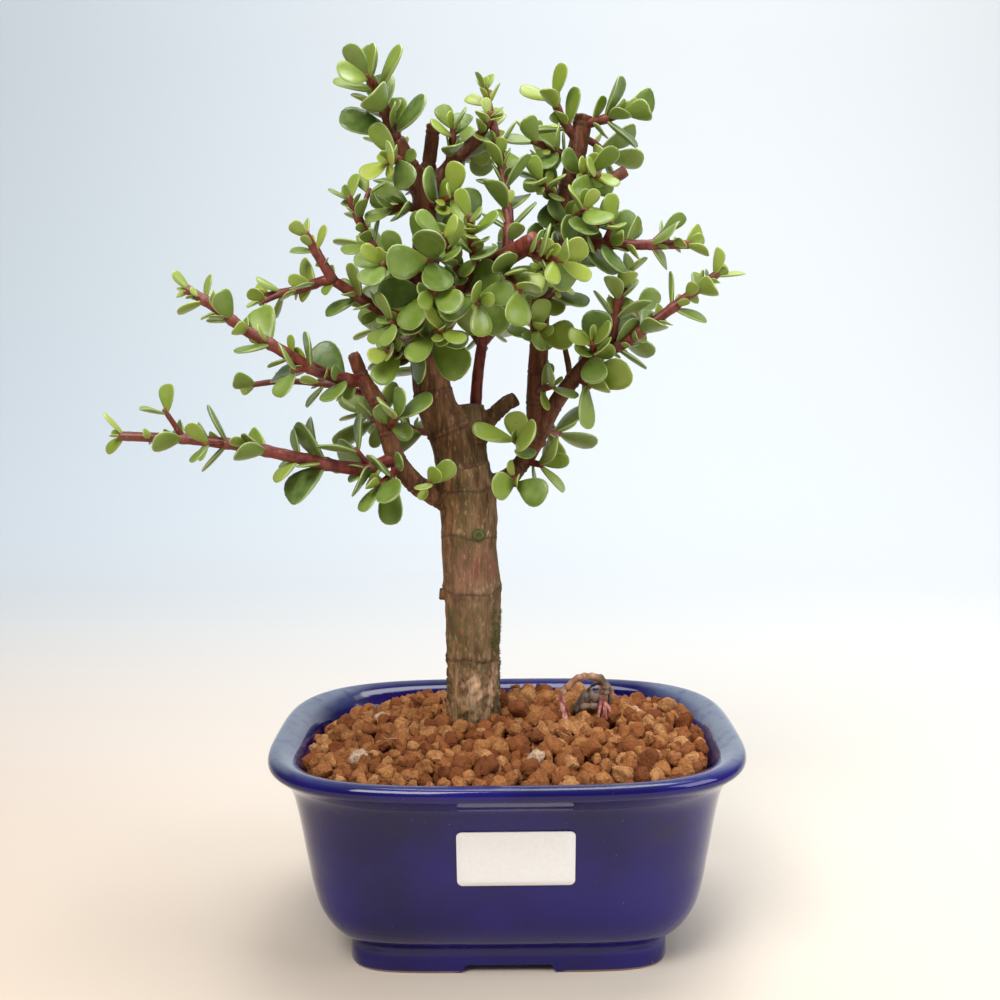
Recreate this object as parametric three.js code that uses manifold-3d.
// Dwarf jade bonsai (Portulacaria afra) in a cobalt-glazed pot.
// Millimetres, +Z up, the tree's front toward -Y. The shapes are laid out round the middle of
// the pot's underside, and the whole group then moves so that the origin lies under the middle
// of the plant's full width.
import * as THREE from 'three';
import Module from 'manifold-3d';
import { ConvexGeometry } from 'three/addons/geometries/ConvexGeometry.js';
import { mergeVertices } from 'three/addons/utils/BufferGeometryUtils.js';

const POT_TO_ORIGIN = 22.61; // how far +X of the origin the pot's middle lies

// ---------------------------------------------------------------- pot
const POT_SEGMENTS = 32;
const POT_SQUARENESS = 3.4; // exponent of the rounded-rectangle outline, 2 would be an ellipse
const FOOT_SQUARENESS = 6; // the foot has tighter corners
const CORNERS_EASE_TO = 30; // height up to which they ease into the wall's
const CORNERS_EASE = 0.5; // below 1 the corners ease fastest low down
// Each row is [height, half width, half depth], from the middle of the underside, round the
// foot, up the outside, over the lip and down the inside to the middle of the floor.
const FLOOR_UNDER = 5;
const FLOOR_TOP = 10;
const POT_PROFILE = [
  [FLOOR_UNDER, 0, 0],
  [FLOOR_UNDER, 41.4, 26],
  [0, 42.6, 27.5],
  [0, 48.2, 33.5],
  [6, 47.9, 33.3],
  [7.5, 47.6, 33],
  [8.9, 50.1, 35],
  [11.4, 53.2, 37.7],
  [15, 56.1, 40.2],
  [20, 58.6, 42.4],
  [30, 61.2, 45.2],
  [43, 63.2, 47.9],
  [52, 64.9, 50.7],
  [56.5, 66.8, 53.2],
  [59.3, 69.2, 56.4],
  [61.8, 71.5, 59],
  [64, 71.2, 58.7],
  [65, 69.3, 56.8],
  [64.2, 66.4, 53.9],
  [62.4, 63.8, 51.3],
  [59, 61.6, 49.1],
  [24, 55, 40.2],
  [14, 50, 35.2],
  [FLOOR_TOP, 45, 30.2],
  [FLOOR_TOP, 0, 0],
];
const WAIST_ROW = 5; // rows of the profile: the narrow waist above the foot,
const LIP_ROW = 15; // the lip's widest point
const THROAT_ROW = 20; // and the top of the inner wall
const FOOT_CUT_HEIGHT = 2.6;
const FOOT_CUT_TOP = 24.7; // width of a foot cut-out at its roof
const FOOT_CUT_BOTTOM = 28.4; // and where it meets the ground
const FOOT_CUT_SIDE = 0.55; // the cut-outs in the short sides are this much narrower
const DRAIN_RADIUS = 6;
const DRAIN_SIDES = 20;
const DRAIN_X = 22; // the two drainage holes lie left and right of the middle
const MESH_SIZE = 18; // plastic mesh square over each hole
const MESH_THICK = 1;
const MESH_HOLE = 3.6;
const MESH_PITCH = 5;

// ---------------------------------------------------------------- label
const LABEL_WIDTH = 33.2;
const LABEL_HEIGHT = 17.2;
const LABEL_THICK = 0.6;
const LABEL_CENTRE_X = 2.2;
const LABEL_CENTRE_Z = 41;
const LABEL_CORNER = 1.2;

// ---------------------------------------------------------------- soil
const GAP = 0.35; // air left between one piece and the next
const CUT_AIR = 0.42; // and between a shoot and the wood that it springs from
const SOIL_EDGE = 61; // soil height along the wall
const SOIL_BACK_DROP = 6; // the soil lies this much lower along the back wall
const SOIL_PEAK = 71.2; // and its height at the top of the mound
const SOIL_PEAK_X = 8;
const SOIL_PEAK_Y = 4;
const SOIL_REACH_X = 66; // how far the mound reaches from its top
const SOIL_REACH_Y = 56;
const SOIL_ROUNDNESS = 2.4; // exponent of the mound's contour lines, 2 would be an ellipse
const SOIL_FALL = 1.1; // exponent of its slope, 1 would be a cone
const ABOVE_SOIL = 90; // a height clear of the soil
const GRANULE = 7.4; // spacing of the baked-clay granules
const GRANULE_RISE = 1.3; // how far a granule's top stands above the general surface
const GRANULE_GAP_DROP = 1.5; // how far the gaps between granules sink below it
const GRANULE_SHIFT = 0.85; // how far a granule strays sideways from its place
const SOIL_SEED = 41;
const SOIL_INSET = 0.75; // air between the soil and the pot's wall
const SOIL_SMOOTHING = 0.2; // detail finer than this is left out of the soil's surface
const SOIL_WAIST = [24, 55, 40.2]; // height, half width and half depth where the wall turns in,
const SOIL_FOOT = [FLOOR_TOP + MESH_THICK + 0.8, 45, 30.2]; // and just over the drainage meshes

// ---------------------------------------------------------------- wood
const TRUNK_SIDES = 12;
const LIMB_SIDES = 6;
const TRUNK_PLAIN_BELOW = 74; // the trunk is a plain prism where it stands in the soil
const TRUNK_FLUTE = 0.045; // depth of the long shallow folds in the bark, as a share of the radius
// The folds: [how many round the trunk, height over which they turn by one radian, share of depth].
const TRUNK_FOLDS = [
  [3, 31, 0.5],
  [5, -19, 0.35],
];
// Old leaf-scar rings round the trunk: [height, swelling, half length].
const TRUNK_RINGS = [
  [87, 0.5, 3],
  [108.5, 1.3, 3],
  [125.5, 0.6, 2.5],
  [140, 1, 3],
];
const WOOD_SMOOTHING = 0.12; // detail finer than this is left out of the wood's surface
const JOINT_SWELL = 0.06; // swelling at the joints of the limbs, as a share of the radius
const SCAR_RADIUS = 2.3; // round scar of an old cut on the trunk's front
const SCAR_DEPTH = 2;
const SCAR_FLARE = 1.15; // its foot over its face
const SCAR_AT = [-8.2, -7.9, 126.5];

// Every run of wood is a list of [x, y, z, radius].
const WOOD = [
  { name: 'trunk', sides: TRUNK_SIDES, per: 3, run: [
    [-10, 0, 40, 8.2], [-10, 0, 59, 8.2], [-10, 0, 73, 8], [-10, 0, 86, 8],
    [-10, 0, 105, 8.6], [-11, 0, 122, 8.4], [-11, 0, 136, 8.7], [-12.8, 0, 146, 8.1]] },
  { name: 'leader', sides: 8, per: 2, run: [
    [-13, 0, 141, 6.8], [-16, 0, 155, 6.6], [-21, 0, 167, 6], [-23, -1, 182, 5.3],
    [-23, -2, 197, 4.4], [-23, -2, 215, 3.9], [-23, -2, 231, 3.7]] },
  { name: 'cut_leader', sides: 8, per: 1, run: [
    [-11.2, 1, 137, 6.8], [-10.3, 3, 151, 5.1], [-10.8, 4, 165, 4.8]] },
  { name: 'side_stub', sides: 6, per: 1, run: [
    [-9, 4, 155, 2.7], [-1, 4, 164, 2.4], [4, 4, 167, 2.2]] },
  { name: 'limb_left', sides: LIMB_SIDES, per: 2, run: [
    [-13, 0, 134, 4.2], [-22, -2, 138.6, 3.4], [-27, -5, 142, 3.1], [-32, -8, 149, 2.9],
    [-35, -10, 159, 2.8], [-37, -11, 166, 2.8], [-41, -12, 173, 2.3], [-44, -13, 181, 1.9]] },
  { name: 'limb_right', sides: LIMB_SIDES, per: 2, run: [
    [-8, 2, 139.5, 3.6], [0, 4, 141.8, 3], [6, 6, 147.5, 2.7], [10.4, 6, 155, 2.9]] },
  { name: 'limb_right_up', sides: LIMB_SIDES, per: 2, run: [
    [10.2, 6, 152, 2.8], [10, 7, 166, 3.1], [11, 8, 182, 3], [12, 9, 197, 3],
    [16, 9, 215, 2.8], [20, 8, 230, 2.9], [23, 8, 242, 3], [25, 8, 252, 2.9]] },
  { name: 'limb_right_out', sides: LIMB_SIDES, per: 2, run: [
    [10, 6, 154, 2.7], [17, 4, 167, 2.5], [26, 2, 178, 2.6], [33, 0, 187, 2.4]] },
  { name: 'fork_left', sides: LIMB_SIDES, per: 1, run: [
    [-23, -2, 227, 3.3], [-28, -5, 237, 3], [-31, -7, 243, 2.8]] },
  { name: 'top_stub', sides: 6, per: 1, run: [
    [-23, -2, 228, 2.3], [-21, -3, 240, 2.1], [-20, -3, 248, 2.1]] },
  { name: 'fork_right', sides: LIMB_SIDES, per: 1, run: [
    [-23, -2, 227, 3.1], [-17, -2, 234, 2.4], [-12, -4, 239, 2.2], [-6, -5, 244, 2]] },
  { name: 'right_stub', sides: 6, per: 1, run: [
    [20, 8, 225, 2], [30, 10, 231, 1.9], [38, 12, 236, 1.9]] },
  { name: 'dead_stub', sides: 5, per: 1, run: [
    [20.5, 3, 171, 1.1], [20, 6, 177, 1], [19, 7, 182, 0.9]] },
  { name: 'nub', sides: 6, per: 1, run: [[-14, 0, 106.5, 2], [-20.3, -1, 107.2, 1.8]] },
];
const ROOT_SIDES = 6;
const ROOT_HOLE_SIDES = 8;
const ROOT_RUN = [
  [17.8, -11.4, 58, 1], [17.8, -11.4, 70, 1], [16.8, -10, 77, 1.1], [18.8, -9, 79.9, 1.2],
  [22.8, -8, 82.1, 1.2], [27.4, -7, 82.1, 1.3], [30.2, -6, 79.8, 1.6], [30.2, -5.5, 76, 1.4],
  [29.7, -5, 71.5, 1], [29.7, -5, 58, 1],
];

// ---------------------------------------------------------------- leaves
// Half the rim of a leaf, from its base to its blunt tip: [share of length, share of half width].
const LEAF_RIM = [[0, 0], [0.34, 0.68], [0.68, 1], [0.96, 0.52]];
const SMALL_LEAF_RIM = [[0, 0], [0.5, 0.98], [0.95, 0.62]];
const SMALL_LEAF = 13.5; // leaves shorter than this have the simpler rim
const LEAF_WIDTH = 0.8; // width over length
const LEAF_THICK = 0.16; // thickness over length
const LEAF_MIDDLE = 0.56; // where the blade is thickest
const LEAF_CUP = -0.02; // the rim stands up by this share of the length
const LEAF_DROOP = -0.04; // and the tip bends back by this share
const LEAF_VIGOUR = 1.16; // scales every leaf
const LEAF_SPREAD = 62; // degrees between a leaf and its stem
const LEAF_TWIST = 30; // most that a blade is twisted about its own length, degrees
const LIGHT = [0, -0.45, 0.5]; // pull of the light on a blade's face, from the front and above
const TOWARD_OUTSIDE = 0.4; // and of the open side of the crown
const TIP_SPREAD = 46; // the same for the pair that ends a stem
const BUD_SPREAD = 24; // and for the small pair inside it
const BUD_SIZE = 0.6;
const STEM_SIDES = 4;
const THIN_STEM = 1.5; // stems and twigs thinner than this have fewer sides
const THIN_STEM_SIDES = 3;
const CROWN_AXIS = [-6, 0]; // x and y of the line that the crown grows round
const ROLL_JITTER = 12; // how far a leaf strays round its stem, degrees
const SPREAD_JITTER = 9; // in its angle to the stem
const SIZE_JITTER = 0.12; // and in its length, as a share
const STEP_JITTER = 0.15; // and how far a pair strays along the stem, as a share of the step
const SIZE_FALL = 1.4; // exponent of the change from the first leaf's length to the last one's
const STEM_END = 3; // bare length kept at a stem's end for the last pair
const TIP_INSET = 1.6; // how far inside the stem's end that pair is rooted
const LEAF_CLEAR = 0.6; // least air between a leaf and any other piece
const LEAF_CLEAR_OWN = 0.25; // and between two leaves of one shoot
// Ways that a leaf bends out of another's way: [turn round the stem, change of spread, size].
const BENDS = [
  [0, 0, 1], [22, 0, 1], [-22, 0, 1], [0, -18, 1], [0, 14, 1], [40, -8, 1],
  [-40, -8, 1], [0, -30, 0.85], [58, 0, 0.8], [-58, 0, 0.8], [0, 0, 0.62],
];
const TWIG_LENGTH = 8;
const TWIG_RADIUS = [0.95, 0.7];
const TWIG_SPREAD = 52;
const TWIG_JITTER = 0.25; // how far its length strays, as a share
const TWIG_LIFT = 0.2; // how far its end turns up, as a share of its length
const TWIG_LEAF = 0.8; // its leaves over those of its stem

// Leafy shoots. `of` fuses a shoot into the named one; path is a list of [x, y, z] from inside
// the parent to the tip; stem the radii at its ends; leaf the lengths of its first and last leaf;
// first the distance to the first pair and step the distance between pairs; roll the angle of
// the first pair round the stem; twig the chance of a side twig at a pair. A bare shoot has no
// leaves of its own.
const SHOOTS = [
  { name: 'left_long', stem: [2.1, 1.4], leaf: [13, 7], first: 9, step: 14, roll: 20, twig: 0.4,
    seed: 3,
    path: [[-33, -9, 150], [-40, -12, 147], [-48, -15, 148], [-60, -17, 151], [-77, -18, 155],
      [-92, -18, 157], [-112, -18, 158]] },
  { name: 'left_upper', stem: [2, 1.4], leaf: [12, 6.5], first: 7, step: 12, roll: 55, twig: 0.35,
    seed: 5,
    path: [[-41, -12, 173], [-48, -17, 174], [-55, -22, 177], [-64, -25, 183], [-73, -25, 188],
      [-82, -24, 195], [-90, -22, 200]] },
  { name: 'left_thin', stem: [1.1, 0.9], leaf: [8, 6.5], first: 16, step: 30, roll: 80, seed: 8,
    path: [[-39, -11.5, 169], [-52, -6, 172], [-61, -5, 173], [-69, -4, 173], [-76, -4, 172]] },
  { name: 'left_mid', stem: [1.9, 1.2], leaf: [10.5, 7], first: 12, step: 12, roll: 35, twig: 0.3,
    seed: 11,
    path: [[-24, -2, 190], [-32, -8, 192], [-40, -12, 196], [-50, -15, 203], [-59, -12, 200],
      [-70, -9, 198]] },
  { name: 'left_mid_up', of: 'left_mid', stem: [1.6, 1.2], leaf: [7, 6], first: 9, step: 8,
    roll: 10, seed: 14,
    path: [[-49, -15, 202], [-53, -15, 209], [-57, -15, 216]] },
  { name: 'left_high', stem: [1.7, 1.1], leaf: [9.5, 6.5], first: 9, step: 10, roll: 65, twig: 0.2,
    seed: 17,
    path: [[-24, -2, 201], [-30, -6, 205], [-37, -8, 210], [-41, -9, 218], [-45, -9, 227]] },
  { name: 'top_left', stem: [2, 1.4], leaf: [13.5, 11.5], first: 5, step: 6, roll: 15, twig: 0.2,
    seed: 19,
    path: [[-30, -6, 241], [-33, -10, 249], [-35, -12, 255], [-38, -13, 260]] },
  { name: 'top_left_down', stem: [1.3, 1], leaf: [12, 9], first: 8, step: 9, roll: 60, seed: 23,
    path: [[-28, -5, 236], [-30, -12, 237], [-33, -18, 235]] },
  { name: 'top_back', stem: [1.4, 1], leaf: [11, 8], first: 9, step: 9, roll: 30, seed: 29,
    path: [[-13, -4, 238], [-10, 8, 240], [-9, 19, 244]] },
  { name: 'right_top', stem: [1.6, 1.1], leaf: [11, 10], first: 7, step: 8, roll: 75, seed: 31,
    path: [[24, 8, 249], [30, 5, 250], [38, 2, 252]] },
  { name: 'right_top_left', stem: [1.5, 1.1], leaf: [11.5, 9], first: 7, step: 6, roll: 5,
    twig: 0.2, seed: 38,
    path: [[24, 8, 243], [19, 5, 249], [15, 3, 257]] },
  { name: 'right_cluster', stem: [1.4, 1], leaf: [11.5, 8], first: 6, step: 6, roll: 40, twig: 0.3,
    seed: 41,
    path: [[21, 8, 235], [25, 0, 234], [28, -9, 232]] },
  { name: 'right_flat', stem: [2, 1.3], leaf: [13, 7.5], first: 13, step: 11, roll: 50, twig: 0.3,
    seed: 43,
    path: [[15.5, 9, 212], [20, 1, 213], [26, -6, 213], [38, -10, 212], [55, -10, 212]] },
  { name: 'right_limb_tip', stem: [1.7, 1.2], leaf: [11, 8], first: 5, step: 7, roll: 25,
    twig: 0.2, seed: 47,
    path: [[33, 0, 185], [34, -2, 194], [37, -4, 205]] },
  { name: 'right_out', stem: [1.9, 1.3], leaf: [11.5, 7.5], first: 7, step: 9.5, roll: 70,
    twig: 0.3, seed: 53,
    path: [[28, 1.5, 181], [36, -1, 183], [44, -4, 189], [52, -5, 195], [64, -5, 204]] },
  { name: 'front_high', stem: [1.3, 1], leaf: [16, 12], first: 10, step: 9, roll: 85, seed: 59,
    path: [[-23, -2, 207], [-22, -14, 208], [-20, -26, 207]] },
  { name: 'front_leader', stem: [1.3, 1], leaf: [14, 9.5], first: 9, step: 8, roll: 15, twig: 0.2,
    seed: 61,
    path: [[-23, -3, 197], [-22, -16, 199], [-19, -30, 198]] },
  { name: 'front_low', stem: [1.3, 1], leaf: [14, 9], first: 9, step: 8, roll: 50, twig: 0.2,
    seed: 67,
    path: [[-22, -3, 183], [-21, -16, 186], [-17, -28, 188]] },
  { name: 'front_left', stem: [1.3, 1], leaf: [12, 8.5], first: 9, step: 8, roll: 80, twig: 0.2,
    seed: 72,
    path: [[-23, -3, 186], [-28, -13, 189], [-32, -25, 190]] },
  { name: 'front_left_low', stem: [1.2, 1], leaf: [12, 8.5], first: 9, step: 8, roll: 25, seed: 73,
    path: [[-22, -3, 177], [-28, -12, 180], [-33, -23, 182]] },
  { name: 'front_left_up', stem: [1.3, 1], leaf: [12, 8.5], first: 9, step: 8, roll: 60, twig: 0.2,
    seed: 79,
    path: [[-23, -3, 206], [-29, -14, 207], [-34, -26, 206]] },
  { name: 'leader_left_high', stem: [1.2, 1], leaf: [14, 8.5], first: 6, step: 8, roll: 35,
    seed: 83,
    path: [[-23, -2, 223], [-28, -6, 224], [-33, -9, 223]] },
  { name: 'leader_right_high', stem: [1.2, 1], leaf: [14.5, 9], first: 6, step: 8, roll: 5,
    seed: 89,
    path: [[-23, -2, 224], [-18, -8, 225], [-14, -14, 226]] },
  { name: 'leader_bud', stem: [1.2, 0.9], leaf: [9.5, 8], first: 4.5, step: 4.5, roll: 50, seed: 97,
    path: [[-16, -3.5, 235], [-14.5, -6.5, 241], [-14, -8, 247]] },
  { name: 'fork_right_tip', stem: [1.6, 0.9], leaf: [10, 5], first: 3, step: 4, roll: 25,
    seed: 99,
    path: [[-8, -4.8, 242.5], [-5, -8, 245.5], [-3, -10.5, 250]] },
  { name: 'centre', bare: true, stem: [2.7, 2.7],
    path: [[-20, -2, 185], [-16, -5, 192], [-10, -11, 202], [-4, -17, 206], [3, -24, 209],
      [9, -30, 212]] },
  { name: 'centre_up_left', of: 'centre', stem: [1.2, 0.9], leaf: [11, 8], first: 9, step: 7,
    roll: 20, seed: 101,
    path: [[-11, -10, 201], [-14, -20, 207], [-17, -29, 214]] },
  { name: 'centre_up', of: 'centre', stem: [1.2, 0.9], leaf: [10, 7.5], first: 8, step: 7,
    roll: 60, twig: 0.2, seed: 103,
    path: [[-7, -14, 204], [-9, -23, 211], [-9, -30, 219]] },
  { name: 'centre_top', of: 'centre', stem: [1.7, 1], leaf: [11, 6.2], first: 9, step: 6.5,
    roll: 30, twig: 0.2, seed: 107,
    path: [[1, -22, 208], [2, -17, 217], [1, -13, 226], [0, -10, 235], [-2, -8, 245], [-5, -6, 258]] },
  { name: 'centre_down', of: 'centre', stem: [1.2, 0.9], leaf: [14, 9], first: 9, step: 9,
    roll: 75, twig: 0.2, seed: 109,
    path: [[-11, -9, 200], [-9, -21, 198], [-7, -31, 195]] },
  { name: 'centre_down_right', of: 'centre', stem: [1.2, 0.9], leaf: [13, 9], first: 8, step: 8,
    roll: 10, seed: 113,
    path: [[-1, -20, 207], [2, -28, 202], [5, -35, 198]] },
  { name: 'centre_tip', of: 'centre', stem: [1.3, 0.9], leaf: [11, 8], first: 7, step: 7, roll: 45,
    seed: 127,
    path: [[5, -26, 210], [11, -32, 207], [16, -39, 206]] },
  { name: 'limb_front', stem: [1.3, 1], leaf: [14, 10], first: 8, step: 8, roll: 70, twig: 0.2,
    seed: 131,
    path: [[13, 8.5, 203], [12, -4, 206], [12, -16, 206]] },
  { name: 'limb_front_low', stem: [1.2, 0.9], leaf: [13, 9], first: 9, step: 9, roll: 25,
    seed: 137,
    path: [[12, 8, 196], [15, -2, 199], [18, -10, 202]] },
  { name: 'limb_pair', stem: [1.2, 0.9], leaf: [11, 9], first: 7, step: 5, roll: 0, seed: 139,
    path: [[11, 8, 184], [11, 0, 186], [10, -6, 188]] },
  { name: 'limb_low_leaf', stem: [1.2, 1], leaf: [11, 9], first: 11, step: 5, roll: 50, seed: 149,
    path: [[10, 7, 168], [12, 1, 170], [15, -3, 171]] },
  { name: 'limb_cluster_left', stem: [1.3, 0.9], leaf: [10.5, 8], first: 8, step: 7, roll: 80,
    twig: 0.2, seed: 151,
    path: [[18, 9, 224], [15, 0, 227], [11, -8, 231]] },
  { name: 'front_mid_right', stem: [1.3, 1], leaf: [15, 10], first: 9, step: 8, roll: 30,
    seed: 157,
    path: [[17, 9, 219], [21, -2, 220], [24, -13, 222]] },
  { name: 'fork_front', stem: [1.3, 1.1], leaf: [14.5, 14], first: 12, step: 5, roll: 10, seed: 163,
    path: [[8, 6, 150], [5, 0, 153], [3, -5, 155]] },
  { name: 'fork_back', stem: [1.2, 1], leaf: [12, 11.5], first: 10, step: 9, roll: 65, seed: 167,
    path: [[11, 6, 157], [15, 12, 156], [18, 18, 155]] },
  { name: 'limb_out_drop', stem: [1.2, 1.1], leaf: [15, 14], first: 9, step: 5, roll: 40,
    seed: 173,
    path: [[22, 3, 173.5], [24.5, 1, 172], [26, -1.5, 170.5]] },
  { name: 'limb_out_front', stem: [1.2, 0.9], leaf: [12, 9], first: 7, step: 7, roll: 85,
    seed: 179,
    path: [[27, 2, 179], [27, -7, 181], [26, -14, 184]] },
  { name: 'right_base', stem: [1.2, 1], leaf: [10.5, 10], first: 12, step: 5, roll: 20, seed: 181,
    path: [[3, 5, 144], [3, -1, 143], [3.5, -6, 141.5]] },
  { name: 'right_base_out', stem: [1.2, 1], leaf: [12.5, 11], first: 9, step: 5, roll: 55, seed: 191,
    path: [[6, 6, 147.5], [9, 4, 147], [12, 2, 146.5]] },
  { name: 'back', bare: true, stem: [1.9, 1.6],
    path: [[-9, 5, 160], [-8, 6, 174], [-6, 10, 187]] },
  { name: 'back_middle', of: 'back', stem: [1.5, 1], leaf: [13, 9], first: 11, step: 13, roll: 40,
    seed: 199,
    path: [[-6, 10, 185], [-3, 19, 194], [-1, 28, 203], [-1, 34, 213]] },
  { name: 'back_left', of: 'back', stem: [1.4, 1], leaf: [13, 9], first: 11, step: 13, roll: 75,
    seed: 211,
    path: [[-6, 9.5, 182], [-11, 19, 190], [-14, 28, 198], [-17, 36, 208]] },
  { name: 'back_right_arm', of: 'back', stem: [1.4, 1], leaf: [13, 9], first: 11, step: 13,
    roll: 10, seed: 223,
    path: [[-6, 9.5, 184], [1, 20, 192], [7, 30, 197], [12, 38, 201]] },
  { name: 'left_base_up', stem: [1.2, 1], leaf: [9.5, 9], first: 12, step: 5, roll: 60, seed: 227,
    path: [[-24, -4, 139], [-23.5, -8, 141.5], [-22, -12, 143]] },
  { name: 'left_base_front', stem: [1.2, 1], leaf: [13, 11], first: 9, step: 6, roll: 70,
    seed: 229,
    path: [[-31, -7, 148], [-34, -15, 145], [-37, -21, 143]] },
  { name: 'left_limb_front', stem: [1.2, 1.1], leaf: [14, 12.5], first: 12, step: 5, roll: 0,
    seed: 233,
    path: [[-35, -10, 158], [-33, -14, 161], [-31, -18, 163]] },
  { name: 'left_limb_back', stem: [1.3, 1], leaf: [13, 9], first: 9, step: 9, roll: 45, seed: 239,
    path: [[-36, -10, 161], [-40, 1, 161], [-44, 12, 163]] },
  { name: 'leader_left_low', stem: [1.2, 0.9], leaf: [10.5, 8], first: 9, step: 5, roll: 25,
    seed: 251,
    path: [[-17, 0, 156], [-26, 5, 157], [-32, 9, 159]] },
  { name: 'back_low_left', stem: [1.5, 1], leaf: [13.5, 9], first: 16, step: 14, roll: 60,
    seed: 257,
    path: [[-22, 0, 181], [-29, 14, 184], [-36, 28, 187], [-42, 38, 190]] },
  { name: 'back_low', stem: [1.5, 1], leaf: [13.5, 9], first: 16, step: 14, roll: 10, seed: 263,
    path: [[-20, 1, 173], [-22, 16, 177], [-24, 30, 180], [-27, 42, 184]] },
  { name: 'back_mid_left', stem: [1.5, 1], leaf: [13, 9], first: 15, step: 14, roll: 40, seed: 269,
    path: [[-23, 0, 200], [-31, 14, 206], [-38, 26, 211], [-45, 34, 217]] },
  { name: 'back_mid', stem: [1.5, 1], leaf: [13, 9], first: 15, step: 14, roll: 75, seed: 271,
    path: [[-23, -1, 212], [-21, 14, 218], [-19, 28, 224], [-17, 37, 232]] },
  { name: 'back_high', stem: [1.5, 1], leaf: [11.5, 8], first: 14, step: 12, roll: 20, seed: 277,
    path: [[-23, -1, 224], [-28, 12, 232], [-31, 22, 240], [-35, 29, 248]] },
  { name: 'back_right', stem: [1.5, 1], leaf: [13, 9], first: 12, step: 13, roll: 55, seed: 281,
    path: [[12, 9, 198], [18, 21, 206], [23, 31, 213], [26, 38, 221]] },
  { name: 'back_right_high', stem: [1.4, 1], leaf: [12, 8], first: 11, step: 13, roll: 5,
    seed: 283,
    path: [[19, 9, 226], [16, 19, 234], [13, 28, 241], [11, 32, 249]] },
  { name: 'back_right_out', stem: [1.4, 1], leaf: [13, 9], first: 11, step: 13, roll: 35,
    seed: 293,
    path: [[27, 2, 179], [33, 14, 183], [38, 24, 187], [44, 32, 193]] },
  { name: 'right_top_back', stem: [1.2, 1], leaf: [13.5, 11], first: 9, step: 6, roll: 80,
    seed: 311,
    path: [[24, 8.5, 246], [29, 12, 244], [33, 15, 240]] },
  { name: 'top_right_inner', stem: [1.2, 0.9], leaf: [10.5, 8.5], first: 8, step: 8, roll: 70,
    seed: 307,
    path: [[22, 8, 239], [16, 3, 241], [9, -2, 243]] },
];

// ---------------------------------------------------------------- colours
const material = (color, roughness, metalness = 0) =>
  new THREE.MeshStandardMaterial({ color, roughness, metalness });
const COBALT = material(0x1c2470, 0.12);
const CLAY = material(0x9a5a30, 0.95);
const BARK = material(0x6b4f42, 0.85);
const DRY_ROOT = material(0x7a4436, 0.8);
const LEAF = material(0x6f9a3c, 0.4);
const PLASTIC = material(0x22252a, 0.6);
const PAPER = material(0xf2f2ef, 0.7);

// ---------------------------------------------------------------- solids
const wasm = await Module();
wasm.setup();

const solidOf = (geometry) => {
  geometry.deleteAttribute('normal');
  geometry.deleteAttribute('uv');
  const merged = mergeVertices(geometry, 1e-4);
  return new wasm.Manifold(new wasm.Mesh({
    numProp: 3,
    vertProperties: new Float32Array(merged.attributes.position.array),
    triVerts: new Uint32Array(merged.index.array),
  }));
};

const meshOf = (name, solid, look) => {
  const data = solid.getMesh();
  const geometry = new THREE.BufferGeometry();
  geometry.setAttribute('position', new THREE.BufferAttribute(new Float32Array(data.vertProperties), 3));
  geometry.setIndex(new THREE.BufferAttribute(new Uint32Array(data.triVerts), 1));
  geometry.computeVertexNormals();
  const mesh = new THREE.Mesh(geometry, look);
  mesh.name = name;
  return mesh;
};

const largest = (solid) => solid.decompose().sort((a, b) => b.volume() - a.volume())[0];

const eachVertex = (geometry, place) => {
  const position = geometry.attributes.position;
  const v = new THREE.Vector3();
  for (let i = 0; i < position.count; i += 1) {
    v.fromBufferAttribute(position, i);
    place(v);
    position.setXYZ(i, v.x, v.y, v.z);
  }
  return geometry;
};

// Seeded draws between 0 and 1, by Lehmer's rule.
const LEHMER_MODULUS = 2147483647;
const LEHMER_FACTOR = 16807;
const draws = (seed) => {
  let state = (seed * 7919 + 17) % LEHMER_MODULUS;
  return () => {
    state = (state * LEHMER_FACTOR) % LEHMER_MODULUS;
    return state / LEHMER_MODULUS;
  };
};

const rad = (degrees) => degrees * Math.PI / 180;
const vec = (p) => new THREE.Vector3(p[0], p[1], p[2]);
const mix = (a, b, t) => a + (b - a) * t;

// ---------------------------------------------------------------- rounded rectangles
const outline = (angle, halfWidth, halfDepth, squareness) => {
  const c = Math.cos(angle);
  const s = Math.sin(angle);
  const power = 2 / squareness;
  return [
    halfWidth * Math.sign(c) * Math.abs(c) ** power,
    halfDepth * Math.sign(s) * Math.abs(s) ** power,
  ];
};

// The foot's tight corners open out over the lower wall; the inside is the same all the way.
const squarenessOf = (row) => {
  if (row > LIP_ROW) return POT_SQUARENESS;
  const waist = POT_PROFILE[WAIST_ROW][0];
  const eased = (POT_PROFILE[row][0] - waist) / (CORNERS_EASE_TO - waist);
  return mix(FOOT_SQUARENESS, POT_SQUARENESS, Math.min(1, Math.max(0, eased)) ** CORNERS_EASE);
};

// A lathe turned from the pot's profile, then pressed from round to rectangular.
const pressedPot = () => {
  const rows = POT_PROFILE;
  const profile = rows.map(([z, width]) => new THREE.Vector2(width, z));
  const geometry = new THREE.LatheGeometry(profile, POT_SEGMENTS);
  const position = geometry.attributes.position;
  for (let i = 0; i < position.count; i += 1) {
    const row = i % rows.length;
    const [z, width, depth] = rows[row];
    const side = Math.floor(i / rows.length) % POT_SEGMENTS;
    const angle = side * 2 * Math.PI / POT_SEGMENTS;
    const [x, y] = outline(angle, width, depth, squarenessOf(row));
    position.setXYZ(i, x, y, z);
  }
  return solidOf(geometry);
};

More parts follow.
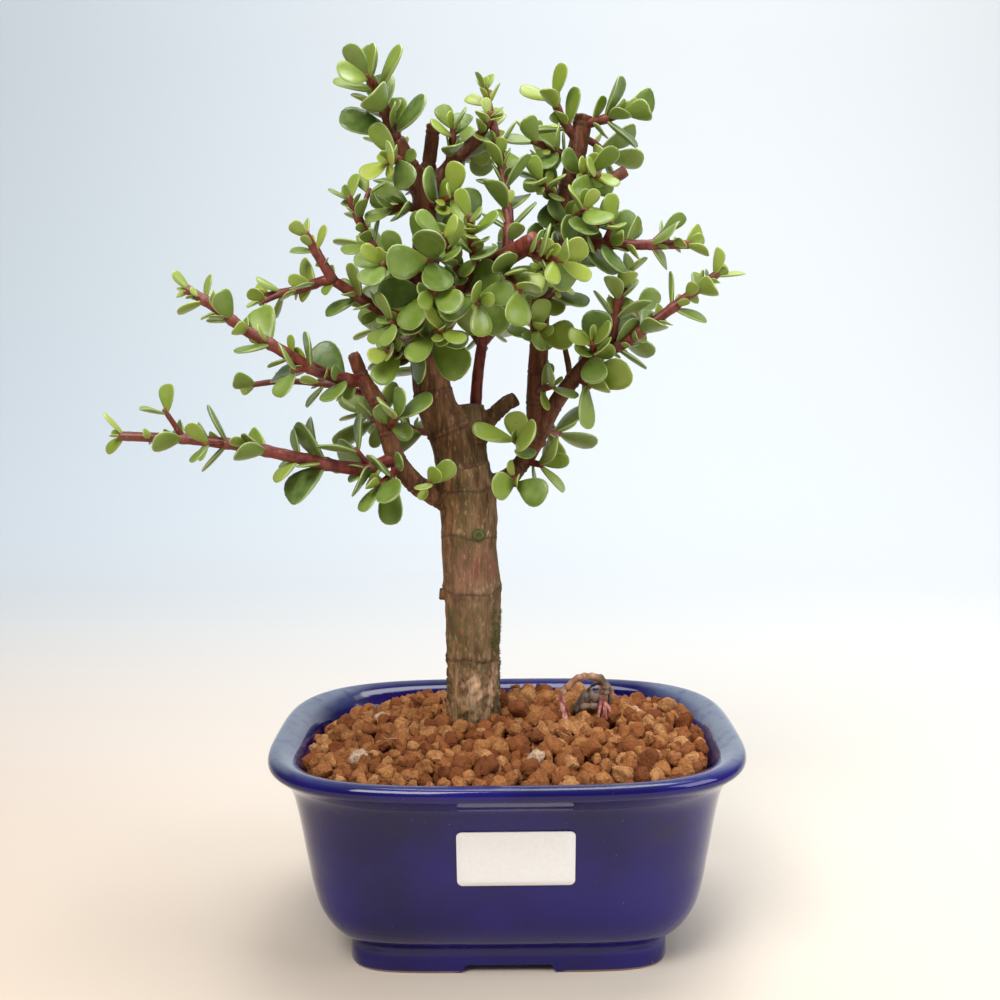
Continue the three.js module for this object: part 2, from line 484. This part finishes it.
// The wedge that is left open under one side of the foot.
const footCut = (width, reach) => {
  const shape = new THREE.Shape([
    new THREE.Vector2(-width * FOOT_CUT_BOTTOM / 2, -1),
    new THREE.Vector2(width * FOOT_CUT_BOTTOM / 2, -1),
    new THREE.Vector2(width * FOOT_CUT_BOTTOM / 2, 0),
    new THREE.Vector2(width * FOOT_CUT_TOP / 2, FOOT_CUT_HEIGHT),
    new THREE.Vector2(-width * FOOT_CUT_TOP / 2, FOOT_CUT_HEIGHT),
    new THREE.Vector2(-width * FOOT_CUT_BOTTOM / 2, 0),
  ]);
  const geometry = new THREE.ExtrudeGeometry(shape, { depth: reach, bevelEnabled: false });
  geometry.translate(0, 0, -reach / 2);
  return geometry.rotateX(Math.PI / 2);
};

const upright = (radius, sides, x, y, low, high) => {
  const geometry = new THREE.CylinderGeometry(radius, radius, high - low, sides, 1);
  geometry.rotateX(Math.PI / 2);
  return solidOf(geometry.translate(x, y, (low + high) / 2));
};

const buildPot = () => {
  const across = 2 * POT_PROFILE[LIP_ROW][1];
  let pot = pressedPot();
  pot = pot.subtract(solidOf(footCut(1, across)));
  pot = pot.subtract(solidOf(footCut(FOOT_CUT_SIDE, across).rotateZ(Math.PI / 2)));
  [-DRAIN_X, DRAIN_X].forEach((x) => {
    pot = pot.subtract(upright(DRAIN_RADIUS, DRAIN_SIDES, x, 0, 0, FLOOR_TOP + 2));
  });
  return pot;
};

const buildDrainMesh = (x) => {
  const z = FLOOR_TOP + GAP + MESH_THICK / 2;
  let sheet = solidOf(new THREE.BoxGeometry(MESH_SIZE, MESH_SIZE, MESH_THICK).translate(x, 0, z));
  [-0.5, 0.5].forEach((i) => [-0.5, 0.5].forEach((j) => {
    const hole = new THREE.BoxGeometry(MESH_HOLE, MESH_HOLE, 3 * MESH_THICK);
    sheet = sheet.subtract(solidOf(hole.translate(x + i * MESH_PITCH, j * MESH_PITCH, z)));
  }));
  return sheet;
};

// Half width and half depth of the pot's outside at a height.
const outsideAt = (z) => {
  const rows = POT_PROFILE.slice(WAIST_ROW, LIP_ROW + 1);
  const k = Math.max(0, rows.findIndex((row) => row[0] > z) - 1);
  const t = (z - rows[k][0]) / (rows[k + 1][0] - rows[k][0]);
  return [mix(rows[k][1], rows[k + 1][1], t), mix(rows[k][2], rows[k + 1][2], t)];
};

const buildLabel = () => {
  const geometry = new THREE.BoxGeometry(LABEL_WIDTH, LABEL_THICK, LABEL_HEIGHT, 4, 1, 3);
  return solidOf(eachVertex(geometry, (v) => {
    const corner = Math.abs(v.x) > LABEL_WIDTH / 2 - 0.1 && Math.abs(v.z) > LABEL_HEIGHT / 2 - 0.1;
    const trim = corner ? LABEL_CORNER / 2 : 0;
    const x = LABEL_CENTRE_X + v.x - Math.sign(v.x) * trim;
    const z = LABEL_CENTRE_Z + v.z - Math.sign(v.z) * trim;
    const [width, depth] = outsideAt(z);
    const face = depth * (1 - (Math.abs(x) / width) ** POT_SQUARENESS) ** (1 / POT_SQUARENESS);
    v.set(x, -face - GAP - LABEL_THICK / 2 + v.y, z);
  }));
};

// ---------------------------------------------------------------- runs of stem and wood
const smooth = (points, per) =>
  new THREE.CatmullRomCurve3(points, false, 'catmullrom', 0.5).getPoints(per * (points.length - 1));

const stretched = (values, per) => {
  const out = [];
  for (let i = 0; i < values.length - 1; i += 1) {
    for (let k = 0; k < per; k += 1) out.push(mix(values[i], values[i + 1], k / per));
  }
  return [...out, values[values.length - 1]];
};

// Tangent, side and up at each point, with no more turning round the run than it has to do.
const FORWARD = new THREE.Vector3(0, -1, 0);
const UPWARD = new THREE.Vector3(0, 0, 1);
const STEEP = 0.7; // rise over length from which a run counts as an upright one
const framesFrom = (centres, reference) => centres.map((c, i) => {
  const next = centres[Math.min(i + 1, centres.length - 1)];
  const tangent = next.clone().sub(centres[Math.max(i - 1, 0)]).normalize();
  const side = tangent.clone().cross(reference).normalize();
  return { tangent, side, up: side.clone().cross(tangent) };
});
const framesOf = (centres) => {
  const whole = centres[centres.length - 1].clone().sub(centres[0]);
  return framesFrom(centres, Math.abs(whole.z) > STEEP * whole.length() ? FORWARD : UPWARD);
};

const tube = (centres, radii, sides, frames = framesOf(centres), share = () => 1) => {
  const rings = centres.length - 1;
  const geometry = new THREE.CylinderGeometry(1, 1, 1, sides, rings);
  return solidOf(eachVertex(geometry, (v) => {
    const ring = Math.round((0.5 - v.y) * rings);
    const { side, up } = frames[ring];
    const radius = radii[ring] * share(Math.atan2(v.z, v.x), centres[ring].z, ring);
    const [a, b] = [v.x * radius, -v.z * radius];
    v.copy(centres[ring]).addScaledVector(side, a).addScaledVector(up, b);
  }));
};

// Bark relief of the trunk: long folds and the rings of old leaf scars.
const trunkRelief = (radius) => (angle, z) => {
  if (z < TRUNK_PLAIN_BELOW) return 1;
  const folds = TRUNK_FOLDS.reduce((sum, [count, pitch, depth]) =>
    sum + depth * Math.cos(count * angle + z / pitch), 0);
  const rings = TRUNK_RINGS.reduce((sum, [height, swell, half]) =>
    sum + swell * Math.max(0, 1 - Math.abs(z - height) / half), 0);
  return 1 + TRUNK_FLUTE * folds + rings / radius;
};

const jointRelief = (per) => (angle, z, ring) =>
  (ring % per === 0 ? 1 + JOINT_SWELL : 1 - JOINT_SWELL / 2);

const woodRuns = WOOD.map(({ name, sides, per, run }) => {
  const centres = smooth(run.map(vec), per);
  const radii = stretched(run.map((p) => p[3]), per);
  const relief = name === 'trunk' ? trunkRelief(run[0][3]) : jointRelief(per);
  return { name, sides, centres, radii, relief };
});

const buildTrunk = () => {
  const runs = woodRuns.map(({ sides, centres, radii, relief }) =>
    tube(centres, radii, sides, framesOf(centres), relief));
  const foot = SCAR_RADIUS * SCAR_FLARE;
  const scar = new THREE.CylinderGeometry(SCAR_RADIUS, foot, SCAR_DEPTH, TRUNK_SIDES, 1);
  runs.push(solidOf(scar.rotateX(Math.PI / 2).translate(...SCAR_AT)));
  return largest(wasm.Manifold.union(runs)).simplify(WOOD_SMOOTHING);
};

const rootCentres = smooth(ROOT_RUN.map(vec), 2);
const rootRadii = stretched(ROOT_RUN.map((p) => p[3]), 2);
const rootFrames = framesFrom(rootCentres, FORWARD);
const buildRoot = () => tube(rootCentres, rootRadii, ROOT_SIDES, rootFrames);

// ---------------------------------------------------------------- soil
const soilHeight = (x, y) => {
  const reach = (Math.abs((x - SOIL_PEAK_X) / SOIL_REACH_X) ** SOIL_ROUNDNESS
    + Math.abs((y - SOIL_PEAK_Y) / SOIL_REACH_Y) ** SOIL_ROUNDNESS) ** (1 / SOIL_ROUNDNESS);
  const edge = SOIL_EDGE - SOIL_BACK_DROP * Math.max(0, y / SOIL_REACH_Y);
  return mix(SOIL_PEAK, edge, Math.min(1, reach) ** SOIL_FALL);
};

// A point of a square, -1 to 1 each way, carried to the pot's rounded rectangle.
const CORNER_PULL = 1 - 2 ** (-1 / POT_SQUARENESS);
const squareToPot = (u, v, halfWidth, halfDepth) => [
  halfWidth * u * (1 - CORNER_PULL * Math.abs(v) ** POT_SQUARENESS),
  halfDepth * v * (1 - CORNER_PULL * Math.abs(u) ** POT_SQUARENESS),
];

// Half width and half depth that the pot leaves for the soil at a height.
const roomAt = (z) => {
  const [top, topWidth, topDepth] = POT_PROFILE[THROAT_ROW];
  const [low, lowWidth, lowDepth] = SOIL_WAIST;
  const t = Math.min(1, (z - low) / (top - low));
  return [mix(lowWidth, topWidth, t) - SOIL_INSET, mix(lowDepth, topDepth, t) - SOIL_INSET];
};

const buildSoil = () => {
  const [, topWidth, topDepth] = POT_PROFILE[THROAT_ROW];
  const nx = 4 * Math.round(topWidth / GRANULE);
  const ny = 4 * Math.round(topDepth / GRANULE);
  const draw = draws(SOIL_SEED);
  const sites = [];
  for (let j = 0; j <= ny; j += 1) {
    for (let i = 0; i <= nx; i += 1) {
      const top = j % 2 === 0 && (i + j / 2) % 2 === 0;
      const wall = i === 0 || j === 0 || i === nx || j === ny;
      const stray = wall ? 0 : (top ? 1 : 0.45) * GRANULE_SHIFT;
      const across = 2 * i / nx - 1;
      const along = 2 * j / ny - 1;
      const ground = soilHeight(...squareToPot(across, along, topWidth, topDepth));
      const [x0, y0] = squareToPot(across, along, ...roomAt(ground - GRANULE_GAP_DROP));
      const x = x0 + (2 * draw() - 1) * stray;
      const y = y0 + (2 * draw() - 1) * stray;
      const lift = top ? GRANULE_RISE * (0.5 + draw()) : -GRANULE_GAP_DROP * draw();
      sites.push([x, y, soilHeight(x, y) + lift]);
    }
  }
  const block = new THREE.BoxGeometry(2, 2, 2, nx, ny, 2);
  let soil = solidOf(eachVertex(block, (v) => {
    if (v.z > 0.5) {
      const i = Math.round((v.x + 1) / 2 * nx);
      const j = Math.round((v.y + 1) / 2 * ny);
      v.set(...sites[j * (nx + 1) + i]);
      return;
    }
    const [z, width, depth] = v.z < -0.5 ? SOIL_FOOT : SOIL_WAIST;
    const [x, y] = squareToPot(v.x, v.y, width - SOIL_INSET, depth - SOIL_INSET);
    v.set(x, y, z);
  })).simplify(SOIL_SMOOTHING);
  const foot = WOOD[0].run[0];
  soil = soil.subtract(tube([vec([foot[0], foot[1], foot[2] - GAP]), vec([foot[0], foot[1], ABOVE_SOIL])],
    [foot[3] + GAP, foot[3] + GAP], TRUNK_SIDES));
  [ROOT_RUN[0], ROOT_RUN[ROOT_RUN.length - 1]].forEach(([x, y, z, r]) => {
    soil = soil.subtract(upright(r + 2 * GAP, ROOT_HOLE_SIDES, x, y, z - GAP, ABOVE_SOIL));
  });
  return largest(soil);
};

// ---------------------------------------------------------------- growth
// Everything that a leaf keeps clear of is a list of short straight lengths with a radius.
const lengths = [];
const addLengths = (owner, centres, radii) => {
  for (let i = 0; i < centres.length - 1; i += 1) {
    const radius = Math.max(radii[i], radii[i + 1]);
    lengths.push({ owner, a: centres[i], b: centres[i + 1], radius });
  }
};

const distanceTo = (p, { a, b }) => {
  const ab = b.clone().sub(a);
  const t = Math.min(1, Math.max(0, p.clone().sub(a).dot(ab) / ab.lengthSq()));
  return p.distanceTo(a.clone().addScaledVector(ab, t));
};

// A point on the middle surface of a leaf: s along it, v across it, h off it.
const leafPoint = (leaf, s, v, h = 0) => {
  const rise = leaf.length * (LEAF_CUP * v * v - LEAF_DROOP * s * s) + h;
  return leaf.base.clone()
    .addScaledVector(leaf.along, s * leaf.length)
    .addScaledVector(leaf.across, v * leaf.length * LEAF_WIDTH / 2)
    .addScaledVector(leaf.face, rise);
};

const rimAt = (s) => {
  const last = LEAF_RIM.length - 1;
  if (s <= 0) return 0;
  if (s >= LEAF_RIM[last][0]) return LEAF_RIM[last][1];
  const k = LEAF_RIM.findIndex(([at]) => at > s);
  const [s0, v0] = LEAF_RIM[k - 1];
  const [s1, v1] = LEAF_RIM[k];
  return mix(v0, v1, (s - s0) / (s1 - s0));
};

// How much of its full thickness a leaf has at a point.
const bodyAt = (s, v) => {
  const lengthwise = s < LEAF_MIDDLE ? s / LEAF_MIDDLE : (1 - s) / (1 - LEAF_MIDDLE);
  return Math.max(0, Math.min(lengthwise, 1 - Math.abs(v) / Math.max(rimAt(s), 0.1)));
};

// Points that stand for a leaf in the tests below: [s, v, share of the full thickness].
const PROBES = [];
[0.3, 0.42, 0.56, 0.7, 0.84, 0.97].forEach((s) => {
  [-1, -0.5, 0, 0.5, 1].forEach((part) => {
    const v = part * rimAt(s);
    PROBES.push([s, v, bodyAt(s, v)]);
  });
});

const LEAF_REACH = 0.62; // farthest point of a leaf from its middle, as a share of its length
const END_MARGIN = 0.06; // a leaf is tested as if it were this much longer at both ends
const SIDE_MARGIN = 0.12; // and this share of its half width wider on both sides

const leafTouchesLeaf = (one, other, air) => {
  const reach = (one.length + other.length) * LEAF_REACH + air;
  if (one.middle.distanceTo(other.middle) > reach) return false;
  return PROBES.some(([s, v, share]) => {
    const half = one.length * LEAF_THICK * share / 2;
    const p = leafPoint(one, s, v, half).sub(other.base);
    const along = p.dot(other.along) / other.length;
    if (along < -END_MARGIN || along > 1 + END_MARGIN) return false;
    const across = p.dot(other.across) / (other.length * LEAF_WIDTH / 2);
    if (Math.abs(across) > rimAt(along) + SIDE_MARGIN) return false;
    const level = other.length * (LEAF_CUP * across * across - LEAF_DROOP * along * along);
    const otherHalf = other.length * LEAF_THICK * bodyAt(along, across) / 2;
    return Math.abs(p.dot(other.face) - level - otherHalf) < air + half + otherHalf;
  });
};

const leafTouchesLength = (leaf, length, air) => {
  if (distanceTo(leaf.middle, length) > leaf.length * LEAF_REACH + length.radius + air) return false;
  return PROBES.some(([s, v, share]) => {
    const half = leaf.length * LEAF_THICK * share / 2;
    return distanceTo(leafPoint(leaf, s, v, half), length) < length.radius + air + half;
  });
};

const leaves = [];
const isClear = (leaf) =>
  !lengths.some((length) => length.owner !== leaf.owner && leafTouchesLength(leaf, length, LEAF_CLEAR))
  && !leaves.some((other) => other.pair !== leaf.pair
    && (leafTouchesLeaf(leaf, other, other.owner === leaf.owner ? LEAF_CLEAR_OWN : LEAF_CLEAR)
      || leafTouchesLeaf(other, leaf, other.owner === leaf.owner ? LEAF_CLEAR_OWN : LEAF_CLEAR)));

// The direction that leads away from a stem, at an angle round it.
const awayFrom = ({ side, up }, angle) =>
  side.clone().multiplyScalar(Math.cos(angle)).addScaledVector(up, Math.sin(angle));

const place = (frame, base, roll, spread, twist, length, owner, pair) => {
  const outward = awayFrom(frame, roll);
  const along = frame.tangent.clone().multiplyScalar(Math.cos(spread))
    .addScaledVector(outward, Math.sin(spread));
  const open = new THREE.Vector3(base.x - CROWN_AXIS[0], base.y - CROWN_AXIS[1], 0).normalize();
  const face = frame.tangent.clone().addScaledVector(open, TOWARD_OUTSIDE).add(vec(LIGHT));
  face.addScaledVector(along, -face.dot(along)).normalize();
  const turned = face.clone().multiplyScalar(Math.cos(twist))
    .addScaledVector(along.clone().cross(face), Math.sin(twist));
  const leaf = { base, along, face: turned, across: along.clone().cross(turned), length, owner, pair };
  leaf.middle = leafPoint(leaf, 0.5, 0);
  return leaf;
};

const addLeaf = (frame, base, roll, spread, size, owner, pair, draw) => {
  const rolled = roll + ROLL_JITTER * (2 * draw() - 1);
  const spreadBy = spread + SPREAD_JITTER * (2 * draw() - 1);
  const twist = LEAF_TWIST * (2 * draw() - 1);
  const length = LEAF_VIGOUR * size * (1 + SIZE_JITTER * (2 * draw() - 1));
  for (let k = 0; k < BENDS.length; k += 1) {
    const [turn, open, scale] = BENDS[k];
    const leaf = place(frame, base, rad(rolled + turn), rad(spreadBy + open), rad(twist),
      length * scale, owner, pair);
    if (isClear(leaf)) {
      leaves.push(leaf);
      return;
    }
  }
};

// Centre line, radii and distance along it.
const lineOf = (centres, radii) => {
  const run = [0];
  for (let i = 1; i < centres.length; i += 1) {
    run.push(run[i - 1] + centres[i].distanceTo(centres[i - 1]));
  }
  const total = run[run.length - 1];
  const radiiAlong = run.map((d) => mix(radii[0], radii[1], d / total));
  return { centres, frames: framesOf(centres), run, total, radii: radiiAlong };
};

const pointAt = (line, distance) => {
  const k = Math.max(1, line.run.findIndex((d) => d >= distance));
  const t = (distance - line.run[k - 1]) / (line.run[k] - line.run[k - 1]);
  const base = line.centres[k - 1].clone().lerp(line.centres[k], t);
  return { base, frame: line.frames[t < 0.5 ? k - 1 : k] };
};

// The pair that ends a stem, and on a long stem the small pair inside it.
const tip = (line, size, roll, owner, tag, draw, inner) => {
  const below = pointAt(line, line.total - TIP_INSET);
  [0, 180].forEach((turn) =>
    addLeaf(below.frame, below.base, roll + turn, TIP_SPREAD, size, owner, tag, draw));
  if (!inner) return;
  [0, 180].forEach((turn) =>
    addLeaf(below.frame, below.base, roll + 90 + turn, BUD_SPREAD, size * BUD_SIZE, owner, tag, draw));
};

const twigs = [];
const growTwig = (frame, base, roll, size, owner, tag, draw) => {
  const outward = awayFrom(frame, rad(roll));
  const along = frame.tangent.clone().multiplyScalar(Math.cos(rad(TWIG_SPREAD)))
    .addScaledVector(outward, Math.sin(rad(TWIG_SPREAD)));
  const length = TWIG_LENGTH * (1 + TWIG_JITTER * (2 * draw() - 1));
  const end = base.clone().addScaledVector(along, length);
  end.z += length * TWIG_LIFT;
  const line = lineOf([base, end], TWIG_RADIUS);
  const blocked = [0.4, 0.6, 0.8, 1].map((t) => base.clone().lerp(end, t)).some((p) =>
    lengths.some((l) => l.owner !== owner && distanceTo(p, l) < l.radius + TWIG_RADIUS[0] + LEAF_CLEAR)
    || leaves.some((leaf) =>
      leaf.owner !== owner && p.distanceTo(leaf.middle) < leaf.length * LEAF_REACH));
  if (blocked) return;
  twigs.push({ owner, line });
  addLengths(owner, line.centres, line.radii);
  tip(line, size * TWIG_LEAF, roll + 45, owner, tag, draw, false);
};

const ownerOf = (shoot) => shoot.of ?? shoot.name;
woodRuns.forEach(({ centres, radii }) => addLengths('trunk', centres, radii));
SHOOTS.forEach((shoot) => {
  shoot.line = lineOf(shoot.path.map(vec), shoot.stem);
  addLengths(ownerOf(shoot), shoot.line.centres, shoot.line.radii);
});

SHOOTS.filter((shoot) => !shoot.bare).forEach((shoot) => {
  const { name, line, first, step, leaf, twig = 0 } = shoot;
  const owner = ownerOf(shoot);
  const draw = draws(shoot.seed);
  const count = Math.floor((line.total - STEM_END - first) / step) + 1;
  for (let i = 0; i < count; i += 1) {
    const at = first + step * (i + STEP_JITTER * (2 * draw() - 1));
    const { base, frame } = pointAt(line, at);
    const roll = shoot.roll + 90 * i;
    const size = mix(leaf[0], leaf[1], (at / line.total) ** SIZE_FALL);
    const tag = `${name}${i}`;
    const twigDraw = draw();
    [0, 180].forEach((turn) =>
      addLeaf(frame, base, roll + turn, LEAF_SPREAD, size, owner, tag, draw));
    if (twigDraw < twig) {
      const turn = twigDraw < twig / 2 ? 90 : 270;
      growTwig(frame, base, roll + turn, size, owner, `${tag}t`, draw);
    }
  }
  const long = shoot.path.length > 4;
  tip(line, leaf[1], shoot.roll + 90 * count, owner, `${name}e`, draw, long);
});

const leafSolid = (leaf) => {
  const rim = leaf.length < SMALL_LEAF ? SMALL_LEAF_RIM : LEAF_RIM;
  const points = [leafPoint(leaf, LEAF_MIDDLE, 0, leaf.length * LEAF_THICK), leafPoint(leaf, 0, 0)];
  rim.slice(1).forEach(([s, v]) => points.push(leafPoint(leaf, s, v), leafPoint(leaf, s, -v)));
  return solidOf(new ConvexGeometry(points));
};

// A leafy stem, cut off just short of the wood it springs from.
const woodAround = wasm.Manifold.union(woodRuns.map(({ sides, centres, radii, relief }) => {
  const frames = framesOf(centres);
  const last = centres.length - 1;
  const longer = centres.map((c, i) =>
    c.clone().addScaledVector(frames[i].tangent, i === last ? CUT_AIR : 0));
  return tube(longer, radii.map((r) => r + CUT_AIR), sides, frames, relief);
}));
const sidesFor = ({ radii }) => (radii[0] > THIN_STEM ? STEM_SIDES : THIN_STEM_SIDES);
const buildShoot = (name) => {
  const stems = SHOOTS.filter((shoot) => ownerOf(shoot) === name)
    .map(({ line }) => tube(line.centres, line.radii, sidesFor(line), line.frames));
  const twigStems = twigs.filter((twig) => twig.owner === name)
    .map(({ line }) => tube(line.centres, line.radii, sidesFor(line), line.frames));
  const blades = leaves.filter((leaf) => leaf.owner === name).map(leafSolid);
  const whole = wasm.Manifold.union([...stems, ...twigStems, ...blades]);
  return largest(whole.subtract(woodAround));
};

// ---------------------------------------------------------------- the bonsai
const bonsai = new THREE.Group();
bonsai.position.x = POT_TO_ORIGIN;
bonsai.add(meshOf('pot', buildPot(), COBALT));
bonsai.add(meshOf('drain_mesh_left', buildDrainMesh(-DRAIN_X), PLASTIC));
bonsai.add(meshOf('drain_mesh_right', buildDrainMesh(DRAIN_X), PLASTIC));
bonsai.add(meshOf('label', buildLabel(), PAPER));
bonsai.add(meshOf('soil', buildSoil(), CLAY));
bonsai.add(meshOf('surface_root', buildRoot(), DRY_ROOT));
bonsai.add(meshOf('trunk', buildTrunk(), BARK));
SHOOTS.filter((shoot) => !shoot.of).forEach(({ name }) => {
  bonsai.add(meshOf(`shoot_${name}`, buildShoot(name), LEAF));
});

export default bonsai;
